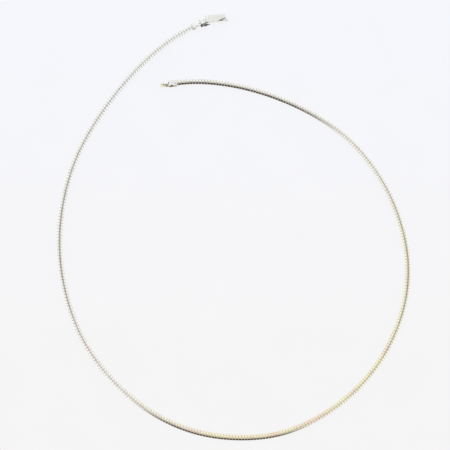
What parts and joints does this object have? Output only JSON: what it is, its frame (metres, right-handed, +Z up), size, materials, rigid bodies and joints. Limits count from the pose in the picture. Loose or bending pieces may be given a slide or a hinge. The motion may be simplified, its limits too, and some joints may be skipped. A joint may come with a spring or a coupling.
{
  "type": "snake chain necklace",
  "caption": "Round snake chain necklace laid open in one loose loop, with an end cap at each end and an open box-and-tongue clasp.",
  "frame": {"origin": "on the surface that the necklace lies on, under the middle of its whole outline", "axes": "+Z up, away from the surface; +Y towards the clasp box; +X to the right when seen from above"},
  "size_m": [0.1339, 0.1613, 0.0028],
  "materials": {
    "chain_silver": "polished ribbed silver with a pale gold cast along one side",
    "clasp_silver": "polished silver sheet with fine wear",
    "tongue_gold": "polished pale gold-coloured spring strip"
  },
  "bodies": {
    "root": {"chain": "chain_silver", "tongue_end_cap": "clasp_silver", "tongue": "tongue_gold", "box_end_cap": "clasp_silver", "clasp_box": "clasp_silver"}
  },
  "joints": []
}
